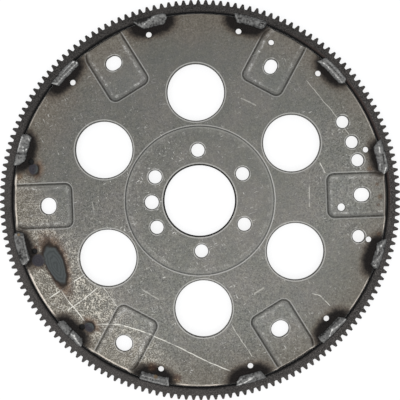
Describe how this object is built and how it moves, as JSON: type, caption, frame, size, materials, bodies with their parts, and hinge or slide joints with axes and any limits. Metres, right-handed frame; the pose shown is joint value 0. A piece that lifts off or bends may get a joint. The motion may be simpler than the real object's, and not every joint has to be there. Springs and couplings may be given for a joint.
{
  "type": "flexplate",
  "caption": "Stamped steel drive plate with a starter ring gear welded round its rim, which joins a crankshaft to a torque converter.",
  "frame": {"origin": "on the ring gear's axis, in the plane of its back face", "axes": "+Z along the axis towards the crankshaft (engine side); +X through a converter pad on the larger bolt circle"},
  "size_m": [0.3592, 0.3592, 0.0123],
  "materials": {
    "plate_steel": "matt, heat marked",
    "ring_steel": "dark, quenched",
    "weld_steel": "as welded",
    "weight_steel": "dark mill finish"
  },
  "bodies": {
    "root": {"drive_plate": "plate_steel", "ring_gear": "ring_steel", "counterweight": "weight_steel", "ring_weld_01": "weld_steel", "ring_weld_02": "weld_steel", "ring_weld_03": "weld_steel", "ring_weld_04": "weld_steel", "ring_weld_05": "weld_steel", "ring_weld_06": "weld_steel", "ring_weld_07": "weld_steel", "ring_weld_08": "weld_steel", "ring_weld_09": "weld_steel", "ring_weld_10": "weld_steel", "ring_weld_11": "weld_steel", "ring_weld_12": "weld_steel", "weight_plug_weld_1": "weld_steel", "weight_plug_weld_2": "weld_steel", "weight_plug_weld_3": "weld_steel", "weight_edge_weld": "weld_steel"}
  },
  "joints": []
}
